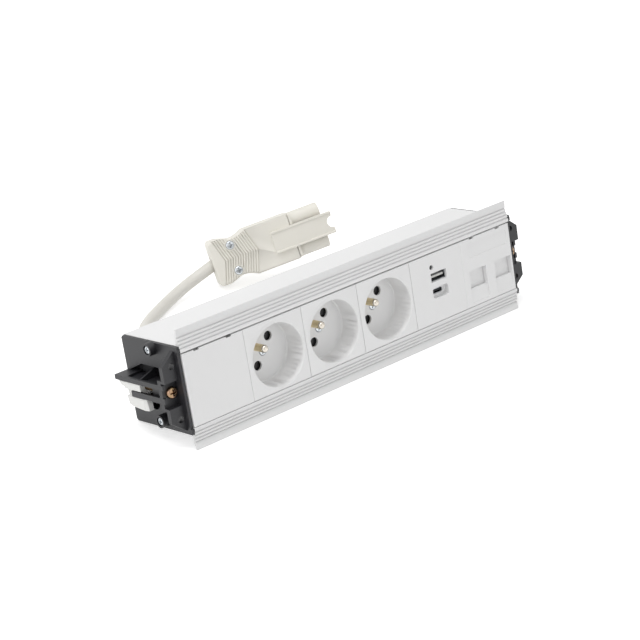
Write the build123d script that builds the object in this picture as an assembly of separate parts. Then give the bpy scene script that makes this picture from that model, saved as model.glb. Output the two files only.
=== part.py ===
from build123d import *
import os
from math import atan2, cos, degrees, pi, radians, sin, tan

# In-desk power module with six inserts, two end brackets, a short cord and a mains connector.
# It is drawn upright: X runs along it, Y goes back into the desk from the face at Y = 0, and Z is up.
# At the end every piece is leaned back together, until the lower flange and the body's back edge
# both stand on the floor at Z = 0, as the module lies when it is put down.

# Inserts
insert_pitch = 45.0
insert_count = 6
insert_gap = 0.1
face_height = 44.8
plate_thickness = 2.2
skirt_inset = 1.2
skirt_half_height = 21.6
skirt_wall = 1.4
skirt_depth = 9.0
hook_reach = 2.4
hook_length = 6.0
hook_spread = 23.0
hook_thickness = 1.8

# Extrusion
end_margin = 0.5
body_depth = 54.5
body_wall = 1.8
body_back_radius = 0.7
section_rise = 0.3
flange_reach = 9.8
flange_seat_depth = 2.5
flange_bevel_height = 3.9
flange_tip_back = 1.0
flange_tip_front = 0.1
lip_gap = 0.55
lip_reach = 4.15
lip_front = -1.0
ridge_count = 4
first_ridge = 2.5
ridge_pitch = 2.1
ridge_step = 0.38
groove_width = 0.6
groove_depth = 0.4
rail_thickness = 1.2
rail_reach = 1.9
rail_clearance = 0.3
port_depth = 23.6
port_top = 23.6
port_bottom = 20.7
port_radius = 3.0
port_bore = 2.0
port_slot = 1.6

# End brackets
cap_thickness = 1.9
cap_inset = 0.3
cap_corner = 1.2
cap_reach = 9.6
front_plate_depth = 3.6
front_plate_thickness = 3.2
front_plate_half = 24.4
front_plate_rise = 0.2
front_tab_half = 17.1
fixing_hole_radius = 2.0
fixing_hole_out = 3.1
fixing_hole_height = 16.35
window_top = 7.2
window_bottom = -8.3
window_wall = 1.6
screw_wall_depth = 8.0
screw_wall_thickness = 3.0
bar_thickness = 1.8
upper_bar_bottom = 2.9
upper_bar_top = 5.9
lower_bar_bottom = -5.65
lower_bar_top = -2.1
lower_bar_end = 39.5
upper_bar_end = 54.2
pocket_top = 11.6
pocket_floor = 4.4
shelf_bottom = 3.2
pocket_front = 11.0
pocket_back = 50.9
pocket_slope_start = 38.7
pocket_depth = 4.6
pocket_wall = 1.3
gusset_place = 29.0
gusset_thickness = 1.2
boss_radius = 4.0
boss_length = 4.6
boss_recess = 3.4
spigot_length = 5.0
spigot_wall = 1.4
spigot_clearance = 0.25
spigot_front = 12.0
side_hole_radius = 5.2
side_hole_place = 32.0
side_hole_height = -10.8
screen_end = 21.3
screen_thickness = 1.0

# Screws
cap_screw_head = 2.7
cap_screw_head_height = 2.2
cap_screw_shank = 1.95
cap_screw_grip = 15.0
clamp_screw_radius = 2.0
clamp_screw_out = 3.6
clamp_screw_head = 3.6
clamp_screw_head_height = 2.4
clamp_screw_end = 53.4
cross_width = 1.0
thread_clearance = 0.1

# Clamp claws
claw_back = 51.0
claw_front = 30.5
claw_bottom = -13.4
claw_arm_front = 26.4
claw_arm_thickness = 4.6
claw_screw_wall = 1.6
claw_clearance = 0.3

# Sockets
socket_inserts = (1, 2, 3)
bowl_radius = 20.0
bowl_floor_radius = 19.4
bowl_rim = 0.6
bowl_depth = 14.0
bowl_wall = 1.5
bowl_floor_thickness = 1.6
socket_turn = 35.3
pin_hole_spread = 9.5
pin_hole_radius = 3.0
earth_pin_offset = 10.0
earth_pin_radius = 2.4
earth_pin_recess = 0.6
shutter_room = 3.2
shutter_thickness = 2.9
base_front_radius = 20.4
base_chamber_radius = 19.2
base_plate_thickness = 1.4
base_radius = 16.6
base_cover_thickness = 1.6
contact_room = 8.4
contact_width = 6.2
contact_leaf = 0.6
socket_screw_radius = 1.5
socket_screw_head = 3.0
socket_screw_short = 6.7
socket_screw_spare = 0.5
blade_near = 3.4
blade_far = 4.6
blade_inner = 5.8
blade_outer = 12.6
bridge_width = 2.4

# Inside wiring
wire_room = 13.1
wire_from_back = 6.2
wire_radius = 1.3
wire_heights = (-5.0, 0.5, 6.0)
terminal_gap = 14.0
terminal_length = 26.0
terminal_entry = 10.0
terminal_clearance = 2.2
terminal_bottom = -8.0
terminal_top = 9.0

# USB charger
usb_insert = 4
usb_shift = 1.1
usb_a_height = 6.8
usb_a_width = 13.2
usb_a_tall = 5.6
usb_shell_wall = 0.3
usb_shell_gap = 0.1
usb_c_height = -3.5
usb_c_width = 8.94
usb_c_tall = 3.26
usb_pocket_width = 13.5
usb_pocket_tall = 7.0
usb_pocket_depth = 2.6
usb_pocket_corner = 1.8
indicator_shift = -4.2
indicator_height = 13.7
indicator_radius = 1.5
board_depth = 16.0
board_thickness = 1.6
board_half_width = 18.0
board_half_height = 15.3
cover_half_height = 16.6
cover_half_width = 19.6
cover_wall = 1.4
usb_cover_back = 31.0

# Data plate
data_insert = 5
data_shift = 1.75
data_plate_thickness = 2.6
data_port_spread = 23.0
window_width = 15.5
window_high = 1.1
window_low = -11.0
panel_low = -20.0
panel_recess = 1.4
label_width = 35.5
label_height = 9.0
label_middle = 14.1
label_recess = 0.4
guide_top = 15.5
shutter_plate = 1.2
shutter_gap = 0.2
shutter_overlap = 0.5
guide_wall = 0.75
jack_back = 32.0
jack_half_width = 7.4
jack_top = 2.8
jack_bottom = -13.5
cage_wall = 1.6
jack_port_width = 11.9
jack_port_top = -1.4
jack_port_bottom = -9.9
jack_port_depth = 13.0
jack_notch_width = 6.4
jack_notch_height = 2.6
jack_wires = 8
jack_wire_pitch = 1.02

# Cord and its way out
cord_radius = 4.1
cord_place = 46.0
relief_flange_radius = 10.5
relief_flange_thickness = 2.5
relief_length = 20.0
relief_inside = 3.4
relief_root_radius = 7.0
relief_end_radius = 5.4
relief_barrel_radius = 7.9
relief_lip_radius = 8.7
relief_bore_gap = 0.1
cord_start = 51.0
cord_first_bend = 101.9
cord_entry = (1.5, -0.8)

# Connector, drawn along its own axis from the cord's end, then set down on its corner by the cord
connector_place = (15.6, 141.3)
connector_yaw = -21.6
connector_rise = 11.2
connector_lean = 20.7
connector_half_width = 16.3
connector_half_thickness = 8.2
connector_body = 60.6
connector_corner = 4.0
connector_edge = 2.0
connector_wall = 1.8
waist_start = 9.5
waist_middle = 18.8
waist_end = 29.2
waist_half_width = 13.3
room_start = 20.5
room_end = 46.5
room_half_width = 11.0
cord_bore_gap = 0.2
cord_bore_end = 15.0
cord_mouth = 2.0
cord_mouth_depth = 4.5
collar_length = 1.8
collar_inset = 0.6
nose_end = 83.6
nose_lobe_radius = 5.6
nose_lobe_spread = 10.4
nose_core_half = 5.0
nose_root = 10.5
nose_root_half = 13.5
guide_start = 44.9
guide_end = 89.3
guide_half_width = 7.6
guide_thickness = 1.6
guide_rail = 0.7
guide_notch_radius = 3.9
connector_screw_place = 16.4
connector_screw_spread = 9.05
connector_screw_head = 2.9
connector_screw_sunk = 0.9
grip_start = 9.9
grip_pitch = 1.85
grip_count = 14
grip_sweep = 17.5
grip_depth = 0.35
grip_width = 0.75
contact_spread = 8.0
contact_radius = 2.3
contact_length = 20.0
contact_recess = 1.5

# Sizes that follow
profile_length = insert_pitch * insert_count + 2 * end_margin
left_end = -end_margin
right_end = left_end + profile_length
middle = (left_end + right_end) / 2
half_face = face_height / 2
lip_start = half_face + lip_gap
half_body = lip_start + lip_reach
half_flange = half_body + flange_reach
inner_half = half_body - body_wall
inner_back = body_depth - body_wall
hook_front = flange_seat_depth + 0.05
rail_front = hook_front + hook_thickness + rail_clearance
cap_face = left_end - cap_thickness
bracket_out = cap_face - cap_reach
clamp_axis = cap_face - clamp_screw_out
floor_back = bowl_depth + bowl_floor_thickness
base_plate_front = floor_back + shutter_room
base_plate_back = base_plate_front + base_plate_thickness
base_back = inner_back - wire_room - base_cover_thickness
socket_screw_end = base_back - socket_screw_short
wire_depth = inner_back - wire_from_back
lean = degrees(atan2(half_flange - half_body, body_depth - flange_tip_back))


def block(x, y, z):
    """A box between two planes on each axis: x, y and z are pairs."""
    size = [high - low for low, high in (x, y, z)]
    centre = [(high + low) / 2 for low, high in (x, y, z)]
    return Pos(*centre) * Box(*size)


def slab(outline, y0, y1):
    """An outline drawn in X and Z, thick from y0 to y1."""
    return extrude(Plane.XZ.offset(-y0) * outline, amount=y0 - y1)


def bar(outline, x0, x1):
    """An outline drawn in Y and Z, long from x0 to x1."""
    return extrude(Plane.YZ.offset(x0) * outline, amount=x1 - x0)


def shape_of(points):
    return make_face(Polyline(*points, close=True))


def turned_y(points):
    """A solid turned about the Y axis, from points given as radius and depth."""
    return revolve(make_face(Polyline(*points, close=True)), Axis.Y)


def rod_y(x, z, y0, y1, radius):
    return Pos(x, (y0 + y1) / 2, z) * Rot(90, 0, 0) * Cylinder(radius, y1 - y0)


def rod_x(y, z, x0, x1, radius):
    return Pos((x0 + x1) / 2, y, z) * Rot(0, 90, 0) * Cylinder(radius, x1 - x0)


def mirrored_end(shape):
    """The same piece at the module's other end."""
    return mirror(shape, about=Plane.YZ.offset(middle))


def cross_cut(width, length, depth):
    """The driver's cross, along -Y from a head's face at the origin."""
    one = block((-length / 2, length / 2), (0, depth), (-width / 2, width / 2))
    other = block((-width / 2, width / 2), (0, depth), (-length / 2, length / 2))
    return one + other


# Extrusion

def flange_front_points():
    """The ridged front of one flange, from the lip by the inserts outwards."""
    points = [(lip_front, lip_start)]
    for ridge in range(ridge_count):
        groove = lip_start + first_ridge + ridge * ridge_pitch
        here = lip_front + ridge * ridge_step
        points += [(here, groove - groove_width / 2), (here + groove_depth, groove),
                   (here + ridge_step, groove + groove_width / 2)]
    return points + [(flange_tip_front, half_flange)]


def make_profile():
    half = flange_front_points() + [
        (flange_tip_back, half_flange),
        (flange_seat_depth, half_flange - flange_bevel_height),
        (flange_seat_depth, half_body),
        (body_depth, half_body),
        (body_depth, 0),
        (inner_back, 0),
        (inner_back, inner_half),
        (rail_front + rail_thickness, inner_half),
        (rail_front + rail_thickness, inner_half - rail_reach),
        (rail_front, inner_half - rail_reach),
        (rail_front, inner_half),
        (flange_seat_depth, inner_half),
        (flange_seat_depth, lip_start),
    ]
    upper = shape_of(half)
    section = Pos(0, section_rise) * (upper + mirror(upper, about=Plane.XZ))
    shell = bar(section, left_end, right_end)
    back_edges = shell.edges().filter_by(Axis.X).filter_by_position(
        Axis.Y, body_depth - 0.01, body_depth + 0.01)
    shell = fillet(back_edges, body_back_radius)
    for height, wall in ((port_top, section_rise + inner_half), (-port_bottom, section_rise - inner_half)):
        reach = sorted((height, wall + (0.3 if wall > 0 else -0.3)))
        shell += rod_x(port_depth, height, left_end, right_end, port_radius)
        shell += block((left_end, right_end), (port_depth - port_bore, port_depth + port_bore), reach)
        inward = sorted((height, height - (port_radius + 1) * (1 if height > 0 else -1)))
        shell -= rod_x(port_depth, height, left_end - 1, right_end + 1, port_bore)
        shell -= block((left_end - 1, right_end + 1),
                       (port_depth - port_slot / 2, port_depth + port_slot / 2), inward)
    return shell - rod_y(cord_place, section_rise, inner_back - 1, body_depth + 1,
                         relief_barrel_radius + relief_bore_gap)


# End brackets, drawn at the left end

def cap_outline():
    """The bracket's plate, stepped in front where it covers the ends of the ridges."""
    top = section_rise + half_body - cap_inset
    bottom = section_rise - half_body + cap_inset
    lip = lip_start + cap_inset
    back = body_depth - cap_inset
    step = lip_front + cap_inset
    return shape_of([
        (cap_inset, section_rise - lip), (step, section_rise - lip),
        (step, section_rise - lip - first_ridge + cap_inset),
        (step + ridge_step, section_rise - lip - first_ridge + cap_inset),
        (step + ridge_step, bottom), (back - cap_corner, bottom), (back, bottom + cap_corner),
        (back, top - cap_corner), (back - cap_corner, top), (step + ridge_step, top),
        (step + ridge_step, section_rise + lip + first_ridge - cap_inset),
        (step, section_rise + lip + first_ridge - cap_inset),
        (step, section_rise + lip), (cap_inset, section_rise + lip),
    ])


def front_plate():
    """The standing plate with its two fixing holes and the open window for the clamp screw."""
    rise = front_plate_rise
    outline = shape_of([
        (cap_face, front_plate_half + rise), (bracket_out, front_tab_half),
        (bracket_out, -front_tab_half), (cap_face, -front_plate_half + rise)])
    y0, y1 = front_plate_depth, front_plate_depth + front_plate_thickness
    plate = slab(outline, y0, y1)
    plate -= block((bracket_out - 1, cap_face), (y0 - 1, y1 + 1), (window_bottom, window_top))
    wall_back = screw_wall_depth + screw_wall_thickness
    reach = (bracket_out, cap_face)
    plate += block(reach, (y0, wall_back), (window_top, window_top + window_wall))
    plate += block(reach, (y0, wall_back), (window_bottom - window_wall, window_bottom))
    plate += block(reach, (screw_wall_depth, wall_back), (window_bottom, window_top))
    for side in (1, -1):
        plate -= rod_y(cap_face - fixing_hole_out, side * fixing_hole_height, y0 - 1, y1 + 1,
                       fixing_hole_radius)
    return plate


def clamp_bars():
    """The shelf with its gusset, the lower guide bar, and the screen that hides the clamp screw."""
    outer = (bracket_out, bracket_out + bar_thickness)
    start = front_plate_depth + front_plate_thickness
    bars = block(outer, (start, upper_bar_end), (upper_bar_bottom, upper_bar_top))
    bars += block(outer, (start, lower_bar_end), (lower_bar_bottom, lower_bar_top))
    wall_back = screw_wall_depth + screw_wall_thickness
    bars += block((bracket_out, cap_face), (wall_back, upper_bar_end), (shelf_bottom, pocket_floor))
    screen_back = clamp_axis - clamp_screw_radius - claw_clearance
    bars += block((screen_back - screen_thickness, screen_back), (wall_back, screen_end),
                  (lower_bar_bottom, shelf_bottom))
    inner = cap_face + pocket_depth
    web = make_face(Polyline((bracket_out, upper_bar_end), (cap_face + 0.5, upper_bar_end),
                             (cap_face + 0.5, pocket_back), (inner, pocket_back), (inner, pocket_back - 6),
                             (bracket_out, pocket_back - 8), close=True))
    bars += extrude(Pos(0, 0, pocket_floor) * web, amount=upper_bar_top - pocket_floor)
    rib = shape_of([(bracket_out + 0.2, pocket_floor), (bracket_out + 0.2, upper_bar_top - 0.2),
                    (inner, pocket_top - 1), (inner, pocket_floor)])
    return bars + slab(rib, gusset_place, gusset_place + gusset_thickness)


def pocket_outline(grow):
    """The pocket above the upper bar, as wide as it is cut, or with its wall around it."""
    return shape_of([
        (pocket_front - grow, pocket_floor - grow), (pocket_back + grow, pocket_floor - grow),
        (pocket_back + grow, upper_bar_top + 0.6 + grow / 2),
        (pocket_slope_start + grow / 2, pocket_top + grow), (pocket_front - grow, pocket_top + grow)])


def make_cap():
    cap = bar(cap_outline(), cap_face, left_end)
    inner_top = section_rise + inner_half - spigot_clearance
    inner_low = section_rise - inner_half + spigot_clearance
    back = inner_back - spigot_clearance
    end = left_end + spigot_length
    cap += block((left_end, end), (spigot_front, back), (inner_top - spigot_wall, inner_top))
    cap += block((left_end, end), (spigot_front, back), (inner_low, inner_low + spigot_wall))
    cap += block((left_end, end), (back - spigot_wall, back), (inner_low, inner_top))
    port_room = port_radius + 0.5
    cap -= block((left_end, end + 1), (port_depth - port_room, port_depth + port_room),
                 (inner_low - 1, inner_top + 1))
    cap += bar(pocket_outline(pocket_wall), left_end, cap_face + pocket_depth + pocket_wall)
    cap += front_plate()
    for height in (port_top, -port_bottom):
        cap += rod_x(port_depth, height, cap_face - boss_length, cap_face, boss_radius)
    cap -= bar(pocket_outline(0), cap_face - 1, cap_face + pocket_depth)
    cap += clamp_bars()
    for height in (port_top, -port_bottom):
        cap -= rod_x(port_depth, height, cap_face - boss_length - 1, cap_face - boss_length + boss_recess,
                     cap_screw_head + thread_clearance)
        cap -= rod_x(port_depth, height, cap_face - boss_length, left_end + 1, port_bore + thread_clearance)
    cap -= rod_y(clamp_axis, 0, front_plate_depth, screw_wall_depth + screw_wall_thickness + 1,
                 clamp_screw_radius + thread_clearance)
    return cap - rod_x(side_hole_place, side_hole_height, cap_face - 1, left_end + 1, side_hole_radius)


def make_cap_screws():
    seat = cap_face - boss_length + boss_recess
    screws = []
    for height in (port_top, -port_bottom):
        screw = rod_x(port_depth, height, seat - cap_screw_head_height, seat, cap_screw_head)
        screw += rod_x(port_depth, height, seat, seat + cap_screw_grip, cap_screw_shank)
        cross = Rot(0, 0, -90) * cross_cut(cross_width, 3.4, 1.2)
        screw -= Pos(seat - cap_screw_head_height, port_depth, height) * cross
        screws.append(screw)
    return Compound(children=screws)


def make_clamp_screw():
    seat = screw_wall_depth - thread_clearance
    front = seat - clamp_screw_head_height
    rim = clamp_screw_head - 0.9
    head = turned_y([(0, front), (rim, front), (clamp_screw_head, front + 0.9),
                     (clamp_screw_head, seat), (0, seat)])
    screw = head + rod_y(0, 0, seat, clamp_screw_end, clamp_screw_radius)
    screw -= Pos(0, front, 0) * cross_cut(cross_width, 4.4, 1.6)
    return Pos(clamp_axis, 0, 0) * screw


def make_claw():
    """The claw runs on the clamp screw, and the lower bar lies in the groove of its outer side."""
    outer = bracket_out + claw_clearance
    inner = cap_face - claw_clearance
    groove_floor = bracket_out + bar_thickness + claw_clearance
    top = upper_bar_bottom - claw_clearance
    side = shape_of([
        (claw_front, top), (claw_back, top), (claw_back - 0.9, top - 2.0), (claw_back - 4.4, -0.9),
        (claw_back - 6.8, -11.2), (claw_back - 10, -12.2), (claw_arm_front, claw_bottom),
        (claw_arm_front + 0.6, lower_bar_bottom - claw_clearance),
        (claw_front, lower_bar_bottom - claw_clearance)])
    claw = bar(side, outer, inner)
    claw -= block((outer - 1, groove_floor), (claw_arm_front - 1, claw_back + 1),
                  (lower_bar_bottom - claw_clearance, lower_bar_top + claw_clearance))
    claw -= block((outer + claw_arm_thickness, inner + 1), (claw_arm_front - 1, claw_back + 1),
                  (claw_bottom - 1, -clamp_screw_radius - claw_screw_wall))
    bevel = make_face(Polyline((outer - 1, claw_arm_front - 1), (outer + 1.6, claw_arm_front - 1),
                               (outer - 1, claw_arm_front + 5), close=True))
    claw -= extrude(Pos(0, 0, claw_bottom - 1) * bevel, amount=lower_bar_bottom - claw_bottom + 1)
    return claw - rod_y(clamp_axis, 0, claw_front - 1, claw_back + 1, clamp_screw_radius + thread_clearance)


# Inserts

def insert_shell(index, thickness):
    """The square plate of one insert, with its skirt and the four hooks that catch behind the lips."""
    x0 = index * insert_pitch
    x1 = x0 + insert_pitch
    centre = (x0 + x1) / 2
    plate = block((x0 + insert_gap / 2, x1 - insert_gap / 2), (0, thickness), (-half_face, half_face))
    plate = chamfer(plate.faces().sort_by(Axis.Y)[0].edges(), 0.25)
    wide = (x0 + skirt_inset, x1 - skirt_inset)
    skirt = block(wide, (thickness, skirt_depth), (-skirt_half_height, skirt_half_height))
    room = (wide[0] + skirt_wall, wide[1] - skirt_wall)
    skirt -= block(room, (thickness, skirt_depth + 1),
                   (-skirt_half_height + skirt_wall, skirt_half_height - skirt_wall))
    shell = plate + skirt
    for side in (-1, 1):
        for up in (-1, 1):
            place = centre + side * hook_spread / 2
            tall = sorted((up * (skirt_half_height - 0.5), up * (skirt_half_height + hook_reach)))
            shell += block((place - hook_length / 2, place + hook_length / 2),
                           (hook_front, hook_front + hook_thickness), tall)
    return shell


def pry_notches(index):
    centre = (index + 0.5) * insert_pitch
    notches = []
    for place in (centre - 12, centre + 12):
        notches.append(block((place - 1.9, place + 1.9), (-1, 1.4), (half_face - 0.8, half_face + 1)))
    return notches[0] + notches[1]


def make_blank_plate():
    plate = insert_shell(0, plate_thickness) - pry_notches(0)
    centre = insert_pitch / 2
    room = centre - skirt_inset - 0.5
    stiffener = block((centre - room, centre + room), (plate_thickness, 6), (-0.7, 0.7))
    return plate + stiffener


def turned(shape, centre):
    """Socket pieces are drawn with their contact holes one above the other, then turned in the plate."""
    return Pos(centre, 0, 0) * Rot(0, socket_turn, 0) * shape


def make_socket_face(index, centre):
    face = insert_shell(index, plate_thickness)
    outer = bowl_radius + bowl_wall
    face += Pos(centre, 0, 0) * turned_y([
        (0, plate_thickness), (outer, plate_thickness), (outer, floor_back), (0, floor_back)])
    face -= Pos(centre, 0, 0) * turned_y([
        (0, -1), (bowl_radius + bowl_rim, -1), (bowl_radius + bowl_rim, 0), (bowl_radius, bowl_rim),
        (bowl_floor_radius, bowl_depth - 0.8), (bowl_floor_radius - 0.8, bowl_depth), (0, bowl_depth)])
    holes = rod_y(-earth_pin_offset, 0, bowl_depth - 1, floor_back + 1, earth_pin_radius + 0.05)
    for side in (-1, 1):
        holes += rod_y(0, side * pin_hole_spread, bowl_depth - 1, floor_back + 1, pin_hole_radius)
    holes += rod_y(0, 0, bowl_depth - 1, floor_back + 1, socket_screw_radius + thread_clearance)
    holes += rod_y(0, 0, bowl_depth - 1, bowl_depth + 0.7, socket_screw_head + thread_clearance)
    return face - turned(holes, centre)


def make_socket_base(centre):
    base = turned_y([
        (0, floor_back), (base_front_radius, floor_back), (base_front_radius, base_plate_back),
        (base_radius, base_plate_back), (base_radius, base_back), (0, base_back)])
    base -= turned_y([(0, floor_back - 1), (base_chamber_radius, floor_back - 1),
                      (base_chamber_radius, base_plate_front), (0, base_plate_front)])
    half = contact_room / 2
    for side in (-1, 1):
        middle_z = side * pin_hole_spread
        base -= rod_y(0, middle_z, base_plate_front - 1, base_plate_back + 1, pin_hole_radius + 0.2)
        base -= block((-half, half), (base_plate_back, base_back + 1), (middle_z - half, middle_z + half))
    base -= rod_y(-earth_pin_offset, 0, base_plate_front - 1, base_back + 1, earth_pin_radius + 0.05)
    bore_end = socket_screw_end + socket_screw_spare
    base -= rod_y(0, 0, base_plate_front - 1, bore_end, socket_screw_radius + 0.05)
    return turned(base, centre)


def make_rear_cover(centre):
    return Pos(centre, 0, 0) * turned_y([
        (0, base_back), (base_radius, base_back), (base_radius, base_back + base_cover_thickness),
        (0, base_back + base_cover_thickness)])


def make_shutter(centre):
    """Two blades behind the contact holes, joined by a bridge on the side away from the earth pin."""
    y0 = floor_back + (shutter_room - shutter_thickness) / 2
    y1 = y0 + shutter_thickness
    shutter = block((blade_far, blade_far + bridge_width), (y0, y1), (-blade_outer, blade_outer))
    ramp = make_face(Polyline((-blade_near, y0), (blade_far - 3.6, y0), (-blade_near, y1 - 0.5), close=True))
    for side in (-1, 1):
        tall = sorted((side * blade_inner, side * blade_outer))
        blade = block((-blade_near, blade_far), (y0, y1), tall)
        blade -= extrude(Pos(0, 0, tall[0] - 1) * ramp, amount=tall[1] - tall[0] + 2)
        shutter += blade
    return turned(shutter, centre)


def make_earth_pin(centre):
    dome = Pos(0, earth_pin_recess + earth_pin_radius, 0) * Sphere(earth_pin_radius)
    shank = rod_y(0, 0, earth_pin_recess + earth_pin_radius, base_back - 0.1, earth_pin_radius)
    return turned(Pos(-earth_pin_offset, 0, 0) * (dome + shank), centre)


def make_contacts(centre):
    """Two folded brass clips, each with a leaf on both sides of the plug's pin and a tail behind."""
    clips = []
    half = contact_width / 2
    front, fold = base_plate_back + 0.2, base_back - 5
    for side in (-1, 1):
        middle_z = side * pin_hole_spread
        clip = block((-half, half), (front, fold), (middle_z - half, middle_z + half))
        clip -= block((-half + contact_leaf, half - contact_leaf), (front - 1, fold - contact_leaf),
                      (middle_z - half - 1, middle_z + half + 1))
        clip += block((-1.5, 1.5), (fold, base_back - 0.1), (middle_z - 0.4, middle_z + 0.4))
        clips.append(turned(clip, centre))
    return Compound(children=clips)


def make_socket_screw(centre):
    seat = bowl_depth + 0.7
    screw = rod_y(0, 0, seat - 1.5, seat, socket_screw_head)
    screw += rod_y(0, 0, seat, socket_screw_end, socket_screw_radius)
    return turned(screw - Pos(0, seat - 1.5, 0) * cross_cut(0.8, 3.8, 0.9), centre)


def make_usb_plate(centre):
    plate = insert_shell(usb_insert, plate_thickness)
    x = centre + usb_shift
    pocket_half = usb_pocket_width / 2
    plate += block((x - pocket_half - 1.3, x + pocket_half + 1.3), (plate_thickness, usb_pocket_depth + 1.4),
                   (usb_c_height - usb_pocket_tall / 2 - 1.2, usb_c_height + usb_pocket_tall / 2 + 1.2))
    pocket = Pos(x, usb_c_height) * RectangleRounded(usb_pocket_width, usb_pocket_tall, usb_pocket_corner)
    plate -= slab(pocket, -1, usb_pocket_depth)
    slot_a = Pos(x, usb_a_height) * Rectangle(usb_a_width + 2 * usb_shell_gap, usb_a_tall + 2 * usb_shell_gap)
    plate -= slab(slot_a, -1, 12)
    slot_c = Pos(x, usb_c_height) * SlotOverall(
        usb_c_width + 2 * usb_shell_gap, usb_c_tall + 2 * usb_shell_gap)
    plate -= slab(slot_c, -1, 12)
    return plate - rod_y(centre + indicator_shift, indicator_height, -1, plate_thickness + 1,
                         indicator_radius + usb_shell_gap)


def make_usb_a(centre):
    place = Pos(centre + usb_shift, usb_a_height)
    inner = (usb_a_width - 2 * usb_shell_wall, usb_a_tall - 2 * usb_shell_wall)
    shell = slab(place * Rectangle(usb_a_width, usb_a_tall), 0.7, board_depth - 0.1)
    shell -= slab(place * Rectangle(*inner), 0, board_depth - 2)
    tongue = slab(place * Pos(0, 0.55) * Rectangle(11.1, 1.9), 2.2, board_depth - 2.1)
    return shell, tongue


def make_usb_c(centre):
    place = Pos(centre + usb_shift, usb_c_height)
    front = usb_pocket_depth + 0.3
    shell = slab(place * SlotOverall(usb_c_width, usb_c_tall), front, board_depth - 0.1)
    shell -= slab(place * SlotOverall(usb_c_width - 2 * usb_shell_wall, usb_c_tall - 2 * usb_shell_wall),
                  front - 1, board_depth - 3)
    tongue = slab(place * Rectangle(6.7, 0.7), front + 0.8, board_depth - 3.1)
    return shell, tongue


def make_usb_board(centre):
    return block((centre - board_half_width, centre + board_half_width),
                 (board_depth, board_depth + board_thickness), (-board_half_height, board_half_height))


def make_usb_parts(centre):
    """Transformer and two capacitors on the back of the charger's board."""
    back = board_depth + board_thickness
    coil = block((centre - 15, centre - 1), (back, back + 11), (-6, 8))
    cans = [rod_y(centre + 5, -8, back, back + 10, 4), rod_y(centre + 12, 6, back, back + 9, 4)]
    return Compound(children=[coil] + cans)


def make_usb_cover(centre):
    wide = (centre - cover_half_width, centre + cover_half_width)
    seat = insert_pitch / 2 - skirt_inset
    cover = block((centre - seat, centre + seat), (skirt_depth, skirt_depth + cover_wall),
                  (-skirt_half_height, skirt_half_height))
    cover += block(wide, (skirt_depth, usb_cover_back), (-cover_half_height, cover_half_height))
    inner = board_half_width + 0.15
    tall = board_half_height + 0.15
    cover -= block((centre - inner, centre + inner), (skirt_depth - 1, board_depth + board_thickness + 0.1),
                   (-tall, tall))
    ledge = 1.2
    return cover - block((centre - inner + ledge, centre + inner - ledge),
                         (board_depth, usb_cover_back - cover_wall), (-tall + ledge, tall - ledge))


def make_indicator(centre):
    return rod_y(centre + indicator_shift, indicator_height, 0.6, board_depth - 0.1, indicator_radius)


def port_centres():
    middle_x = (data_insert + 0.5) * insert_pitch + data_shift
    return middle_x - data_port_spread / 2, middle_x + data_port_spread / 2


def make_data_plate():
    plate = insert_shell(data_insert, data_plate_thickness) - pry_notches(data_insert)
    middle_x = sum(port_centres()) / 2
    plate_edge = (data_insert + 1) * insert_pitch - insert_gap / 2
    side_room = (plate_edge - 4, plate_edge + 1)
    plate -= block(side_room, (data_plate_thickness, skirt_depth + 1), (jack_bottom - 0.5, guide_top + 0.5))
    label = Pos(middle_x, label_middle) * RectangleRounded(label_width, label_height, 1.6)
    plate -= slab(label, -1, label_recess)
    half = window_width / 2
    shutter_back = data_plate_thickness + shutter_gap + shutter_plate
    cage_front = shutter_back + shutter_gap
    for x in port_centres():
        plate -= block((x - half, x + half), (-1, data_plate_thickness + 1), (window_low, window_high))
        slope = shape_of([(-1, window_low + 0.01), (panel_recess, window_low + 0.01), (0.3, panel_low),
                          (-1, panel_low)])
        plate -= bar(slope, x - half, x + half)
        guide = half + shutter_overlap + shutter_gap
        for side in (-1, 1):
            rib = sorted((x + side * guide, x + side * (guide + guide_wall)))
            plate += block(rib, (data_plate_thickness, cage_front), (jack_bottom, guide_top))
            cage = sorted((x + side * (jack_half_width + 0.1), x + side * (jack_half_width + cage_wall)))
            plate += block(cage, (cage_front, 16), (jack_bottom, jack_top))
            joint = sorted((x + side * (guide - 0.9), x + side * (guide + guide_wall)))
            plate += block(joint, (cage_front, cage_front + 1.4), (jack_bottom, guide_top))
    return plate


def make_data_shutter(x):
    half = window_width / 2 + shutter_overlap
    y0 = data_plate_thickness + shutter_gap
    return block((x - half, x + half), (y0, y0 + shutter_plate), (window_low - 1.2, window_high + 1.1))


def make_jack(x):
    front = data_plate_thickness + 2 * shutter_gap + shutter_plate
    jack = block((x - jack_half_width, x + jack_half_width), (front, jack_back), (jack_bottom, jack_top))
    half = jack_port_width / 2
    deep = (front - 1, front + jack_port_depth)
    jack -= block((x - half, x + half), deep, (jack_port_bottom, jack_port_top))
    notch = jack_notch_width / 2
    jack -= block((x - notch, x + notch), deep, (jack_port_bottom - jack_notch_height, jack_port_bottom))
    return jack


def make_jack_contacts(x):
    """Eight thin wires that slope down from the roof of the port."""
    front = data_plate_thickness + 2 * shutter_gap + shutter_plate
    wires = []
    for count in range(jack_wires):
        place = x + (count - (jack_wires - 1) / 2) * jack_wire_pitch
        wire = Pos(place, front + 7.5, jack_port_top - 2.1) * Rot(-22, 0, 0) * Box(0.45, 9.0, 0.45)
        wires.append(wire)
    return Compound(children=wires)


# Inside wiring

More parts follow.
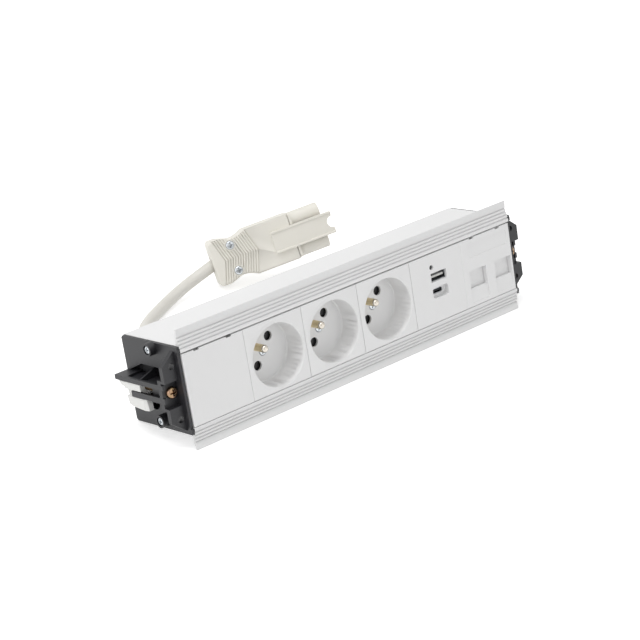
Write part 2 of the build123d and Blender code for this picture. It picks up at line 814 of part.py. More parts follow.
def make_terminal_block():
    x0 = cord_place + terminal_gap
    x1 = x0 + terminal_length
    front = base_back + base_cover_thickness + terminal_clearance
    terminals = block((x0, x1), (front, inner_back - 0.1), (terminal_bottom, terminal_top))
    for height in wire_heights:
        terminals -= rod_x(wire_depth, height, x0 - 1, x0 + terminal_entry, wire_radius + 0.3)
        terminals -= rod_x(wire_depth, height, x1 - terminal_entry, x1 + 1, wire_radius + 0.3)
    return terminals


def make_supply_wires():
    """Three insulated wires along the back, each with a short tail to every socket and the charger."""
    start = cord_place + terminal_gap + terminal_length - terminal_entry + 2
    last = (usb_insert + 0.5) * insert_pitch
    wires = []
    for height in wire_heights:
        wire = rod_x(wire_depth, height, start, last + wire_radius, wire_radius)
        for index in socket_inserts:
            tail = (index + 0.5) * insert_pitch + height
            if tail > start + terminal_entry + 2:
                wire += rod_y(tail, height, base_back + base_cover_thickness, wire_depth, wire_radius)
        wire += rod_y(last, height, usb_cover_back, wire_depth, wire_radius)
        wires.append(wire)
    return Compound(children=wires)


# Cord and connector

def make_cord_relief():
    root = body_depth + relief_flange_thickness
    end = root + relief_length
    bore = cord_radius + relief_bore_gap
    wall_front = inner_back - 0.1
    start = inner_back - relief_inside
    relief = turned_y([
        (bore, start), (relief_barrel_radius, start), (relief_lip_radius, start + 1.4),
        (relief_lip_radius, wall_front), (relief_barrel_radius, wall_front),
        (relief_barrel_radius, body_depth), (relief_flange_radius, body_depth),
        (relief_flange_radius - 0.6, root), (relief_root_radius, root), (relief_end_radius, end),
        (bore, end)])
    for count in range(4):
        y = root + 3.4 + count * 4.2
        ring = turned_y([(relief_end_radius - 0.4, y), (relief_root_radius + 1, y),
                         (relief_root_radius + 1, y + 1.5), (relief_end_radius - 0.4, y + 1.5)])
        relief -= ring
    return Pos(cord_place, 0, section_rise) * relief


def connector_outline():
    """Front view of the shells: rounded clamp end, waist for the fingers, straight sides."""
    half = connector_half_width
    low = half - 0.2
    line = Polyline((connector_corner, low), (waist_start, low))
    waist = Spline((waist_start, low), (waist_middle, waist_half_width), (waist_end, half),
                   tangents=[(1, -0.25), (1, 0.5)])
    side = Polyline((waist_end, half), (connector_body, half), (connector_body, 0))
    end = Polyline((connector_body, 0), (0, 0), (0, low - connector_corner))
    corner = RadiusArc((0, low - connector_corner), (connector_corner, low), connector_corner)
    upper = make_face([line, waist, side, end, corner])
    return upper + mirror(upper, about=Plane.XZ)


def grip_grooves(side):
    """Grooves of the grip, each a flat V across the shell with its point towards the mating end."""
    grooves = []
    level = side * connector_half_thickness
    for count in range(grip_count):
        tip = grip_start + count * grip_pitch
        for up in (-1, 1):
            groove = Pos(0, up * 10, 0) * Box(grip_width, 20, 2 * grip_depth)
            grooves.append(Pos(tip, 0, level) * Rot(0, 0, up * grip_sweep) * groove)
    cutter = grooves[0]
    for groove in grooves[1:]:
        cutter += groove
    for up in (-1, 1):
        cutter -= Pos(connector_screw_place, up * connector_screw_spread, level) * Cylinder(
            connector_screw_head + 1.0, 4 * grip_depth)
    return cutter


def make_connector_shell(side):
    """One half shell in its own frame: X along the connector, Y across it, Z out of its face."""
    shell = extrude(connector_outline(), amount=connector_half_thickness)
    rim = shell.faces().sort_by(Axis.Z)[-1].edges()
    shell = fillet(rim, connector_edge)
    ceiling = connector_half_thickness - connector_wall
    room = Box(room_end - room_start, 2 * room_half_width, 2 * ceiling)
    shell -= Pos((room_start + room_end) / 2, 0, 0) * room
    root_room = Box(2 * nose_root + 0.2, 2 * nose_root_half + 0.2, 2 * nose_core_half + 0.2)
    shell -= Pos(connector_body, 0, 0) * root_room
    bore = cord_radius + cord_bore_gap
    shell -= Pos(cord_bore_end / 2, 0, 0) * Rot(0, 90, 0) * Cylinder(bore, cord_bore_end + 1)
    mouth = Cone(bore + cord_mouth, bore, cord_mouth_depth + 0.01)
    shell -= Pos(cord_mouth_depth / 2, 0, 0) * Rot(0, 90, 0) * mouth
    shell -= grip_grooves(1)
    for up in (-1, 1):
        place = Pos(connector_screw_place, up * connector_screw_spread, 0)
        shell -= place * Cylinder(1.7, 40)
        if side > 0:
            seat = Pos(0, 0, connector_half_thickness - connector_screw_sunk)
            shell -= place * seat * Cylinder(connector_screw_head + 0.15, 4,
                                             align=(Align.CENTER, Align.CENTER, Align.MIN))
    if side < 0:
        shell = Rot(180, 0, 0) * shell
    return shell


def make_connector_nose():
    """The mating nose: a collar, then a flat core between two round lobes, with a hole for each contact."""
    start = connector_body + 0.1
    long = nose_end - start
    nose = Pos(start + long / 2, 0, 0) * Box(long, 2 * nose_lobe_spread, 2 * nose_core_half)
    root = Box(nose_root + 0.1, 2 * nose_root_half, 2 * nose_core_half,
               align=(Align.MAX, Align.CENTER, Align.CENTER))
    nose += Pos(start, 0, 0) * root
    for up in (-1, 1):
        nose += Pos(start + long / 2, up * nose_lobe_spread, 0) * Rot(0, 90, 0) * Cylinder(
            nose_lobe_radius, long)
    collar = Box(collar_length, 2 * (connector_half_width - collar_inset),
                 2 * (connector_half_thickness - collar_inset), align=(Align.MIN, Align.CENTER, Align.CENTER))
    collar = fillet(collar.edges().filter_by(Axis.X), connector_edge)
    nose += Pos(start, 0, 0) * collar
    hole = contact_recess + contact_length + 5.5
    for place in (-1, 0, 1):
        bore = Rot(0, 90, 0) * Cylinder(contact_radius + 0.1, 2 * hole)
        nose -= Pos(nose_end, place * contact_spread, 0) * bore
    return nose


def make_connector_contacts():
    """Three brass sleeves, split and hollow, inside the nose."""
    middle_of_sleeve = nose_end - contact_recess - contact_length / 2
    sleeves = []
    for place in (-1, 0, 1):
        sleeve = Rot(0, 90, 0) * (Cylinder(contact_radius, contact_length)
                                  - Cylinder(contact_radius - 0.5, contact_length + 2))
        sleeve += Pos(0.5 - contact_length / 2, 0, 0) * Rot(0, 90, 0) * Cylinder(contact_radius, 1)
        root = Pos(-2 - contact_length / 2, 0, 0) * Rot(0, 90, 0) * Cylinder(contact_radius - 0.6, 4)
        sleeves.append(Pos(middle_of_sleeve, place * contact_spread, 0) * (sleeve + root))
    return Compound(children=sleeves)


def make_connector_guide():
    """The raised guide on the front shell: a plate with a rail along each side and a round notch."""
    long = guide_end - guide_start
    wide = 2 * guide_half_width
    low = connector_half_thickness
    guide = Pos(guide_start + long / 2, 0, low + guide_thickness / 2) * Box(long, wide, guide_thickness)
    skirt_start = connector_body + collar_length + 0.4
    for up in (-1, 1):
        rail = Box(long, 1.3, guide_rail, align=(Align.CENTER, Align.CENTER, Align.MIN))
        guide += Pos(guide_start + long / 2, up * (guide_half_width - 0.65), low + guide_thickness) * rail
        skirt = Box(guide_end - skirt_start, 1.6, 2.0, align=(Align.MIN, Align.CENTER, Align.MAX))
        guide += Pos(skirt_start, up * (guide_half_width - 0.8), low) * skirt
    return guide - Pos(guide_end - 0.2, 0.3, low) * Cylinder(guide_notch_radius, 20)


def make_connector_screws():
    screws = []
    seat = connector_half_thickness - connector_screw_sunk
    for up in (-1, 1):
        head = Cylinder(connector_screw_head, 1.6, align=(Align.CENTER, Align.CENTER, Align.MIN))
        shank = Cylinder(1.55, 12, align=(Align.CENTER, Align.CENTER, Align.MAX))
        cross = Pos(0, 0, 1.6) * Rot(-90, 0, 0) * cross_cut(0.8, 3.6, 1.1)
        screws.append(Pos(connector_screw_place, up * connector_screw_spread, seat) * (head + shank - cross))
    return Compound(children=screws)


# Placing

def floor_height():
    tip = (flange_tip_back, section_rise - half_flange)
    return tip[0] * sin(radians(lean)) - tip[1] * cos(radians(lean))


def middle_of_depth():
    """Half way between the foremost and the rearmost point once the module leans."""
    c, s = cos(radians(lean)), sin(radians(lean))
    front = flange_tip_front * c + (section_rise - half_flange) * s
    back = body_depth * c + (section_rise + half_body) * s - body_back_radius * (c + s - 1)
    return (front + back) / 2


stand = Pos(-middle, -middle_of_depth(), floor_height()) * Rot(-lean, 0, 0)


def stood(x, y, z):
    """Where a point of the upright drawing lies once the module leans on the floor."""
    return (stand * Pos(x, y, z)).position


connector_turn = Rot(0, 0, connector_yaw) * Rot(0, -connector_rise, 0) * Rot(90 - connector_lean, 0, 0)


def connector_height():
    """The corner by the cord stands on the floor, and the stiff cord holds the mating end up."""
    shell = connector_turn * make_connector_shell(-1)
    return -shell.bounding_box().min.Z


laid = Pos(connector_place[0], connector_place[1], connector_height()) * connector_turn


def cord_points():
    """The cord's route, chosen by hand: out of the relief, down to the floor, then to the connector."""
    leave = stood(cord_place, cord_start, section_rise)
    bend = stood(cord_place, cord_first_bend, section_rise)
    entry = (laid * Pos(cord_entry[0], cord_entry[1], 0)).position
    return [leave, bend, Vector(-62.8, 114.7, 5.0), Vector(-29.5, 134.1, 4.6), Vector(-3.4, 142.9, 8.2),
            entry]


def make_cord():
    points = cord_points()
    radii = []
    for before, here, after in zip(points, points[1:], points[2:]):
        run = min((here - before).length, (after - here).length)
        turn = (here - before).get_angle(after - here)
        radii.append(0.45 * run / tan(radians(turn) / 2))
    print("cord runs", [round((b - a).length, 1) for a, b in zip(points, points[1:])])
    print("cord radii", [round(r, 1) for r in radii])
    path = FilletPolyline(*points, radius=radii)
    start = Plane(origin=path @ 0, z_dir=path % 0)
    cord = sweep(start * Circle(cord_radius), path=path)
    print("cord length", round(path.length, 1), "volume ratio",
          round(cord.volume / (pi * cord_radius ** 2 * path.length), 4))
    return cord


def build_nodes():
    nodes = {"profile": make_profile()}
    cap, claw = make_cap(), make_claw()
    screws, driver = make_cap_screws(), make_clamp_screw()
    for side, place in (("left", lambda shape: shape), ("right", mirrored_end)):
        nodes["end_cap_" + side] = place(cap)
        nodes["cap_screws_" + side] = place(screws)
        nodes["clamp_screw_" + side] = place(driver)
        nodes["clamp_claw_" + side] = place(claw)
    nodes["blank_plate"] = make_blank_plate()
    for count, index in enumerate(socket_inserts):
        name = "socket_%d_" % (count + 1)
        centre = (index + 0.5) * insert_pitch
        nodes[name + "face"] = make_socket_face(index, centre)
        nodes[name + "base"] = make_socket_base(centre)
        nodes[name + "rear_cover"] = make_rear_cover(centre)
        nodes[name + "shutter"] = make_shutter(centre)
        nodes[name + "earth_pin"] = make_earth_pin(centre)
        nodes[name + "contacts"] = make_contacts(centre)
        nodes[name + "screw"] = make_socket_screw(centre)
    usb = (usb_insert + 0.5) * insert_pitch
    nodes["usb_plate"] = make_usb_plate(usb)
    nodes["usb_rear_cover"] = make_usb_cover(usb)
    nodes["usb_board"] = make_usb_board(usb)
    nodes["usb_parts"] = make_usb_parts(usb)
    nodes["usb_a_shell"], nodes["usb_a_tongue"] = make_usb_a(usb)
    nodes["usb_c_shell"], nodes["usb_c_tongue"] = make_usb_c(usb)
    nodes["usb_indicator"] = make_indicator(usb)
    nodes["data_plate"] = make_data_plate()
    for side, x in zip(("left", "right"), port_centres()):
        nodes["data_shutter_" + side] = make_data_shutter(x)
        nodes["data_jack_" + side] = make_jack(x)
        nodes["data_contacts_" + side] = make_jack_contacts(x)
    nodes["terminal_block"] = make_terminal_block()
    nodes["supply_wires"] = make_supply_wires()
    nodes["cord_relief"] = make_cord_relief()
    nodes = {name: stand * shape for name, shape in nodes.items()}
    nodes["connector_front_shell"] = laid * make_connector_shell(1)
    nodes["connector_rear_shell"] = laid * make_connector_shell(-1)
    nodes["connector_nose"] = laid * make_connector_nose()
    nodes["connector_contacts"] = laid * make_connector_contacts()
    nodes["connector_guide"] = laid * make_connector_guide()
    nodes["connector_screws"] = laid * make_connector_screws()
    nodes["cord"] = make_cord()
    return nodes


os.makedirs("parts", exist_ok=True)
for name, shape in build_nodes().items():
    export_step(shape, "parts/%s.step" % name)
print("lean", round(lean, 3), "floor", round(floor_height(), 3), "depth middle", round(middle_of_depth(), 3))
print("connector stands at", [round(v, 3) for v in laid.position])
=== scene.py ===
import bpy
import bmesh
from math import cos, radians, sin, pi
from mathutils import Matrix, Vector


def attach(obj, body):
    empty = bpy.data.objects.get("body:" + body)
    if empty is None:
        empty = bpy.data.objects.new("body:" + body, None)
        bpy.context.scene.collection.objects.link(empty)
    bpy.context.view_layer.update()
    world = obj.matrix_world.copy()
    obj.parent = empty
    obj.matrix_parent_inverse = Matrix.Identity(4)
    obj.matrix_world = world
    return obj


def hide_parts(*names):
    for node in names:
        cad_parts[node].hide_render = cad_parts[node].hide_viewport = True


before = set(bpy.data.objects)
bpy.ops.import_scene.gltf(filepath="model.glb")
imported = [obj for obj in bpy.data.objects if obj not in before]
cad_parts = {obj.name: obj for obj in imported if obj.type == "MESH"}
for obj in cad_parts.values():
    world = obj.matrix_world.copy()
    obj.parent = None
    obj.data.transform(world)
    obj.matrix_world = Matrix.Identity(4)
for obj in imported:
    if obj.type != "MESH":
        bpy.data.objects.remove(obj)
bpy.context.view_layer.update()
mm = 0.001

# The module is drawn upright, in mm, with its front at Y = 0, and leans back on its rear edge
stand = {"lean": 10.380223, "middle": 135.0, "back": 25.967, "floor": 36.181}
uprightToFloor = (Matrix.Translation(Vector((-stand["middle"], -stand["back"], stand["floor"])) * mm)
                  @ Matrix.Rotation(-radians(stand["lean"]), 4, "X") @ Matrix.Scale(mm, 4))

# The connector is drawn along its own X axis from its cord end; it stands on its lower rear corner, and the
# stiff cord holds its nose up
connectorPlace = {"at": (15.6, 141.3, 16.352), "yaw": -21.6, "rise": 11.2, "leanBack": 20.7}
connectorToFloor = (Matrix.Translation(Vector(connectorPlace["at"]) * mm)
                    @ Matrix.Rotation(radians(connectorPlace["yaw"]), 4, "Z")
                    @ Matrix.Rotation(-radians(connectorPlace["rise"]), 4, "Y")
                    @ Matrix.Rotation(radians(90 - connectorPlace["leanBack"]), 4, "X")
                    @ Matrix.Scale(mm, 4))


def hexColour(code):
    channels = [int(code[i:i + 2], 16) / 255 for i in (1, 3, 5)]
    linear = [c / 12.92 if c <= 0.04045 else ((c + 0.055) / 1.055) ** 2.4 for c in channels]
    return (*linear, 1.0)


# Sockets that share a name, such as the colours of a Mix, are given by their number
def addNode(tree, kind, settings=None, links=None):
    node = tree.nodes.new(kind)
    for name, value in (settings or {}).items():
        if isinstance(name, int) or name in node.inputs.keys():
            node.inputs[name].default_value = value
        else:
            setattr(node, name, value)
    for name, socket in (links or {}).items():
        tree.links.new(socket, node.inputs[name])
    return node


def startMaterial(name, facts):
    material = bpy.data.materials.new(name)
    material.use_nodes = True
    tree = material.node_tree
    tree.nodes.clear()
    shader = addNode(tree, "ShaderNodeBsdfPrincipled", {"Roughness": facts["roughness"]})
    for fact, socket in (("metallic", "Metallic"), ("ior", "IOR")):
        if fact in facts:
            shader.inputs[socket].default_value = facts[fact]
    addNode(tree, "ShaderNodeOutputMaterial", links={"Surface": shader.outputs["BSDF"]})
    return material, tree, shader


# How a surface was made decides its variation: sizes of the patches of colour and of the grain, and the
# grain's height, in mm. Fine grain is drawn coarser than it is, so that it shows at all.
ways = {
    # The melt leaves a faint cloud, and the spark-eroded tool a fine grain that breaks the gloss
    "moulded": {"ior": 1.53, "patch": 18.0, "patchDetail": 2.0, "grainDetail": 3.0, "bump": 0.35},
    # Turning and drawing leave fine marks that break up the reflection
    "plated": {"metallic": 1.0, "patch": 2.5, "patchDetail": 3.0, "grain": 0.4, "grainDetail": 2.0,
               "bump": 0.25, "height": 0.01},
    # A baked powder sets with a slight orange peel
    "powderCoated": {"ior": 1.5, "patch": 60.0, "patchDetail": 1.0, "grain": 0.8, "grainDetail": 2.0,
                     "bump": 0.3, "height": 0.006},
    # Vinyl run over the conductors mottles, and their lay shows in the same places as a long ripple
    "sheathed": {"ior": 1.53, "patch": 7.0, "patchDetail": 3.0, "grain": 7.0, "grainDetail": 3.0,
                 "bump": 0.3, "height": 0.04},
}
finishes = {
    # Plates and data shutters: an even white with a satin gloss
    "whiteAbs": {"way": "moulded", "colour": "#e9e9e9", "patches": "#e5e5e5", "roughness": 0.42,
                 "grain": 0.35, "height": 0.004},
    # Connector: a warmer white, a little duller
    "ivoryNylon": {"way": "moulded", "colour": "#e7e4dc", "patches": "#e2dfd5", "roughness": 0.48,
                   "grain": 0.5, "height": 0.006},
    # Brackets: black that goes grey where the light grazes its grain
    "blackNylon": {"way": "moulded", "colour": "#1b1b1e", "patches": "#222226", "roughness": 0.46,
                   "grain": 0.6, "height": 0.015},
    # Claws: dull white
    "clawNylon": {"way": "moulded", "colour": "#e8e8e6", "patches": "#e2e2df", "roughness": 0.5,
                  "grain": 0.5, "height": 0.006},
    # Parts behind the plates: natural grey-white, a little glossy
    "innerPolycarbonate": {"way": "moulded", "colour": "#dcdcd8", "patches": "#d2d2cd", "roughness": 0.4,
                           "grain": 0.6, "height": 0.006},
    # Socket shutters: near black; the same near black is painted on the deep walls of the contact holes as
    # painted shade, so that a hole looks deep
    "shutterNylonAndHoleShade": {"way": "moulded", "colour": "#101011", "patches": "#161617", "roughness": 0.5,
                     "grain": 0.6, "height": 0.006},
    # Charger's parts: dull charcoal
    "chipEpoxy": {"way": "moulded", "colour": "#26272a", "patches": "#1d1e20", "roughness": 0.6,
                  "grain": 0.8, "height": 0.01},
    # Supply wires: mid blue, smooth
    "wireVinyl": {"way": "moulded", "colour": "#3d5688", "patches": "#35507f", "roughness": 0.4,
                  "grain": 1.2, "height": 0.01},
    # Tongue of the A port: pale grey that stands out in the dark mouth
    "tongueNylon": {"way": "moulded", "colour": "#d8d8d4", "patches": "#cfcfcb", "roughness": 0.4,
                    "grain": 0.6, "height": 0.004},
    # Cap, socket and connector screws: bright with a cold blue cast
    "zincPlatedSteel": {"way": "plated", "colour": "#d9dde0", "patches": "#c0c5c9", "roughness": 0.28},
    # Heads of the clamp screws: pinkish yellow that turns green in patches
    "yellowZincSteel": {"way": "plated", "colour": "#b08a80", "patches": "#8a7c46", "roughness": 0.25},
    # Thread of the clamp screws: the yellow zinc painted brown and dull, as painted shade where it runs
    # through the dark gap under the shelf
    "yellowZincInPaintedShade": {"way": "plated", "colour": "#5c4a34", "patches": "#43382a", "roughness": 0.4},
    # Tips of the earth pins: a clear warm mirror
    "nickelPlate": {"way": "plated", "colour": "#d6d0c6", "patches": "#c3bcb0", "roughness": 0.16},
    # Sides of the earth pins: pale yellow, drawn smooth
    "pinBrass": {"way": "plated", "colour": "#eadab4", "patches": "#dccba3", "roughness": 0.3},
    # Contacts of the sockets and of the connector: plain yellow
    "contactBrass": {"way": "plated", "colour": "#cdb16a", "patches": "#b3944f", "roughness": 0.3},
    # Contacts of the data jacks: rich gold
    "gildedBronze": {"way": "plated", "colour": "#e0bd62", "patches": "#cda74c", "roughness": 0.22},
    # Shells of the charger's ports: soft grey shine
    "stampedTinnedSteel": {"way": "plated", "colour": "#b9bcbf", "patches": "#9fa3a7", "roughness": 0.32},
    # Extrusion: an even white, glossier than the plates
    "powderCoatedAluminium": {"way": "powderCoated", "colour": "#e8e8e8", "patches": "#e4e4e4",
                              "roughness": 0.38},
    # Cord and its relief: soft warm white
    "sheathVinyl": {"way": "sheathed", "colour": "#dddbd5", "patches": "#d6d3cb", "roughness": 0.45},
}


def surfaceFinish(name):
    facts = {**ways[finishes[name]["way"]], **finishes[name]}
    material, tree, shader = startMaterial(name, facts)
    place = addNode(tree, "ShaderNodeTexCoord").outputs["Object"]
    patches = addNode(tree, "ShaderNodeTexNoise",
                      {"Scale": 1 / (facts["patch"] * mm), "Detail": facts["patchDetail"]},
                      {"Vector": place})
    colours = addNode(tree, "ShaderNodeMix",
                      {"data_type": "RGBA", 6: hexColour(facts["colour"]), 7: hexColour(facts["patches"])},
                      {"Factor": patches.outputs["Fac"]})
    tree.links.new(colours.outputs[2], shader.inputs["Base Color"])
    grain = addNode(tree, "ShaderNodeTexNoise",
                    {"Scale": 1 / (facts["grain"] * mm), "Detail": facts["grainDetail"]}, {"Vector": place})
    bump = addNode(tree, "ShaderNodeBump", {"Strength": facts["bump"], "Distance": facts["height"] * mm},
                   {"Height": grain.outputs["Fac"]})
    tree.links.new(bump.outputs["Normal"], shader.inputs["Normal"])
    return material


# Charger board: green solder mask, lighter where it runs over the copper tracks, 3 mm apart
board = {"colour": "#1f5a35", "shade": "#1b5230", "track": "#2f7a4c", "pitch": 3.0, "trackWidth": 0.03,
         "roughness": 0.35, "ior": 1.5}


def solderMaskBoard():
    material, tree, shader = startMaterial("solderMaskBoard", board)
    place = addNode(tree, "ShaderNodeTexCoord").outputs["Object"]
    tracks = addNode(tree, "ShaderNodeTexBrick",
                     {"Scale": 1 / (board["pitch"] * mm), "Mortar Size": board["trackWidth"],
                      "Color1": hexColour(board["colour"]), "Color2": hexColour(board["shade"]),
                      "Mortar": hexColour(board["track"])}, {"Vector": place})
    tree.links.new(tracks.outputs["Color"], shader.inputs["Base Color"])
    return material


materials = {name: surfaceFinish(name) for name in finishes}
materials["solderMaskBoard"] = solderMaskBoard()
print("materials made:", len(materials))

# Copies of CAD nodes are merged within 0.001 mm, and faces within 0.6 degrees of flat become one; the
# poles of a spun shape are merged within 0.002 mm, and edges over 35 degrees stay sharp
copying = {"merge": 0.001, "flat": 0.6, "poles": 0.002, "sharpAngle": 35}


def uprightCopy(node):
    bm = bmesh.new()
    bm.from_mesh(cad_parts[node].data)
    bmesh.ops.remove_doubles(bm, verts=bm.verts, dist=copying["merge"] * mm)
    bmesh.ops.dissolve_limit(bm, angle_limit=radians(copying["flat"]), verts=bm.verts, edges=bm.edges)
    bm.transform(uprightToFloor.inverted())
    return bm


def finishPiece(bm, name, body, replaced, materialNames, place, sharpAngle=copying["sharpAngle"]):
    bm.transform(place)
    mesh = bpy.data.meshes.new(name)
    bm.to_mesh(mesh)
    bm.free()
    for materialName in materialNames:
        mesh.materials.append(materials[materialName])
    mesh.shade_smooth()
    mesh.set_sharp_from_angle(angle=radians(sharpAngle))
    piece = bpy.data.objects.new(name, mesh)
    bpy.context.scene.collection.objects.link(piece)
    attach(piece, body)
    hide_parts(*replaced)
    return piece


# Plates: all fronts come out until they stand almost level with the lips, and the data plate closes up to
# its neighbour
plates = {"front": 2.0, "forward": 0.9, "dataEdge": 226.0, "closeUp": 0.15}

# Pry notches: their floors slope down inside, so they look dark
notch = {"floor": 1.4, "low": 21.6, "drop": 1.4, "back": 2.1, "near": 0.02, "nearLow": 0.05}


def bringForward(bm, node):
    for corner in bm.verts:
        at = corner.co
        if node == "data_plate" and at.x < plates["dataEdge"]:
            at.x -= plates["closeUp"]
        if abs(at.y - notch["floor"]) < notch["near"] and at.z > notch["low"] - notch["nearLow"]:
            if at.z < notch["low"] + notch["nearLow"]:
                at.z -= notch["drop"]
            at.y = notch["back"]
        elif at.y < plates["front"]:
            at.y -= plates["forward"]


# Sockets: the contact holes stand at 35 degrees, so the row of plugs can lean
sockets = {"centres": (67.5, 112.5, 157.5), "turn": 35.3, "sharpAngle": 20}

# Bowls: narrower than on the solid, with the rim a little aside and down
bowl = {"radius": 20.6, "end": 15.0, "wall": 0.9, "shrink": 0.97, "rimAside": 0.84, "rimDown": 0.9}


def socketCentre(node):
    return sockets["centres"][int(node.split("_")[1]) - 1]


def shapeBowl(bm, node):
    centre = socketCentre(node)
    for corner in bm.verts:
        at = corner.co
        aside = Vector((at.x - centre, at.z))
        if aside.length < bowl["radius"] and at.y < bowl["end"]:
            if at.y > plates["front"]:
                at.y -= plates["forward"]
            if aside.length > bowl["radius"] * bowl["wall"]:
                at.x = centre + aside.x * bowl["shrink"]
                at.z = aside.y * bowl["shrink"]
                if at.y < plates["front"]:
                    at.x += bowl["rimAside"]
                    at.z -= bowl["rimDown"]


# Contact holes: from a little way in, their walls are painted near black as painted shade
holes = {"aside": 9.5, "radius": 3.0, "slack": 0.3, "dark": 14.5, "cutWithin": 0.001}


def paintHoleShade(bm, node):
    bmesh.ops.bisect_plane(bm, geom=bm.verts[:] + bm.edges[:] + bm.faces[:], dist=holes["cutWithin"],
                           plane_co=(0, holes["dark"], 0), plane_no=(0, 1, 0))
    turn = Matrix.Rotation(radians(sockets["turn"]), 3, "Y")
    centre = Vector((socketCentre(node), 0, 0))
    axes = [centre + turn @ Vector((0, 0, side * holes["aside"])) for side in (1, -1)]
    # Painted shade: wall faces deep in each hole take the near-black second material
    for face in bm.faces:
        middle = face.calc_center_median()
        for axis in axes:
            aside = Vector((middle.x - axis.x, middle.z - axis.z)).length
            if abs(aside - holes["radius"]) < holes["slack"] and middle.y > holes["dark"]:
                face.material_index = 1


# Only the long front edges of a socket's plate are rounded; its bowl has a chamfer of its own
border = {"radius": 0.35, "longerThan": 30.0}


def roundBorder(bm):
    edges = [edge for edge in bm.edges
             if edge.calc_length() > border["longerThan"] and all(corner.co.y < 0 for corner in edge.verts)]
    bmesh.ops.bevel(bm, geom=edges, offset=border["radius"], affect="EDGES", segments=2, profile=0.5,
                    material=-1)
    return len(edges)


# Connector's grip: the grooves are cut deeper than on the solid, so that each reads as a line, and the end
# towards the cord is drawn in, more at the rear
grip = {"level": 8.2, "depth": 0.35, "slack": 0.05, "flat": 0.99, "deepen": 0.55,
        "endZone": 8.0, "frontDraw": 0.9, "rearDraw": 2.4}


def shapeGrip(bm):
    toConnector = connectorToFloor.inverted() @ uprightToFloor
    bm.transform(toConnector)
    bm.normal_update()
    floors = set()
    for face in bm.faces:
        level = abs(face.calc_center_median().z)
        if abs(face.normal.z) > grip["flat"] and abs(level - grip["level"] + grip["depth"]) < grip["slack"]:
            floors.update(face.verts)
    for corner in floors:
        corner.co.z -= grip["deepen"] if corner.co.z > 0 else -grip["deepen"]
    for corner in bm.verts:
        at = corner.co
        if at.x < grip["endZone"]:
            front = (1 + at.z / grip["level"]) / 2
            draw = grip["rearDraw"] * (1 - front) + grip["frontDraw"] * front
            at.x += (1 - at.x / grip["endZone"]) * draw
    bm.transform(toConnector.inverted())
    return len(floors)


# Rigid pieces whose form the CAD node already has: material, body, and width of the broken edges in mm.
# Every moulding has a small radius that catches the light; faces and shells are finished in their meshes.
moulded = {
    "end_cap_left": ("blackNylon", "module", 0.30),
    "end_cap_right": ("blackNylon", "module", 0.30),
    "clamp_claw_left": ("clawNylon", "clamp_claw_left_body", 0.45),
    "clamp_claw_right": ("clawNylon", "clamp_claw_right_body", 0.45),
    "blank_plate": ("whiteAbs", "module", 0.15),
    "socket_1_face": ("whiteAbs", "module", 0.0),
    "socket_2_face": ("whiteAbs", "module", 0.0),
    "socket_3_face": ("whiteAbs", "module", 0.0),
    "usb_plate": ("whiteAbs", "module", 0.15),
    "data_plate": ("whiteAbs", "module", 0.15),
    "data_shutter_left": ("whiteAbs", "data_shutter_left_body", 0.15),
    "data_shutter_right": ("whiteAbs", "data_shutter_right_body", 0.15),
    "connector_front_shell": ("ivoryNylon", "module", 0.0),
    "connector_rear_shell": ("ivoryNylon", "module", 0.0),
    "connector_nose": ("ivoryNylon", "module", 0.30),
    "connector_guide": ("ivoryNylon", "module", 0.25),
}
brokenEdge = {"segments": 2, "overAngle": 40}


def addMoulded(node, materialName, body, width):
    bm = uprightCopy(node)
    names, sharpAngle = [materialName], copying["sharpAngle"]
    if node.endswith("_face") or node.endswith("_plate"):
        bringForward(bm, node)
    if node.endswith("_face"):
        shapeBowl(bm, node)
        paintHoleShade(bm, node)
        print("plate edges rounded:", roundBorder(bm))
        # The second material is the near-black painted shade on the deep walls of the contact holes
        names.append("shutterNylonAndHoleShade")
        sharpAngle = sockets["sharpAngle"]
    if node.endswith("_shell"):
        print("grip corners moved:", shapeGrip(bm))
    piece = finishPiece(bm, node.replace("_", "-"), body, [node], names, uprightToFloor, sharpAngle)
    normals = piece.data.attributes.get("custom_normal")
    if normals:
        piece.data.attributes.remove(normals)
    if width:
        bevel = piece.modifiers.new("edges", "BEVEL")
        bevel.width = width * mm
        bevel.segments = brokenEdge["segments"]
        bevel.limit_method = "ANGLE"
        bevel.angle_limit = radians(brokenEdge["overAngle"])
        bevel.harden_normals = True


for node, (materialName, body, width) in moulded.items():
    addMoulded(node, materialName, body, width)
print("moulded pieces:", len(moulded))

# Extrusion: the four grooves of each flange are undercut slots, which read as dark lines
grooves = {"count": 4, "rise": 0.3, "lip": 22.95, "first": 2.5, "pitch": 2.1, "front": -1.0, "step": 0.38,
           "halfWidth": 0.3, "depth": 0.4, "slack": 0.03, "inFrontOf": 1.0,
           "widen": 0.12, "deepen": 0.85, "undercut": 0.3}


def carveGrooves(bm):
    moved = 0
    for corner in bm.verts:
        at = corner.co
        up = 1 if at.z > grooves["rise"] else -1
        out = abs(at.z - grooves["rise"])
        for count in range(grooves["count"]):
            middle = grooves["lip"] + grooves["first"] + count * grooves["pitch"]
            floor = grooves["front"] + count * grooves["step"] + grooves["depth"]
            aside = abs(out - middle)
            if aside < grooves["slack"] and abs(at.y - floor) < grooves["slack"]:
                at.y += grooves["deepen"]
                at.z -= grooves["undercut"]
                moved += 1
            elif abs(aside - grooves["halfWidth"]) < grooves["slack"] and at.y < grooves["inFrontOf"]:
                at.z += up * (grooves["widen"] if out > middle else -grooves["widen"])
                moved += 1
    return moved


bm = uprightCopy("profile")
print("groove corners moved:", carveGrooves(bm))
finishPiece(bm, "extrusion", "module", ["profile"], ["powderCoatedAluminium"], uprightToFloor)


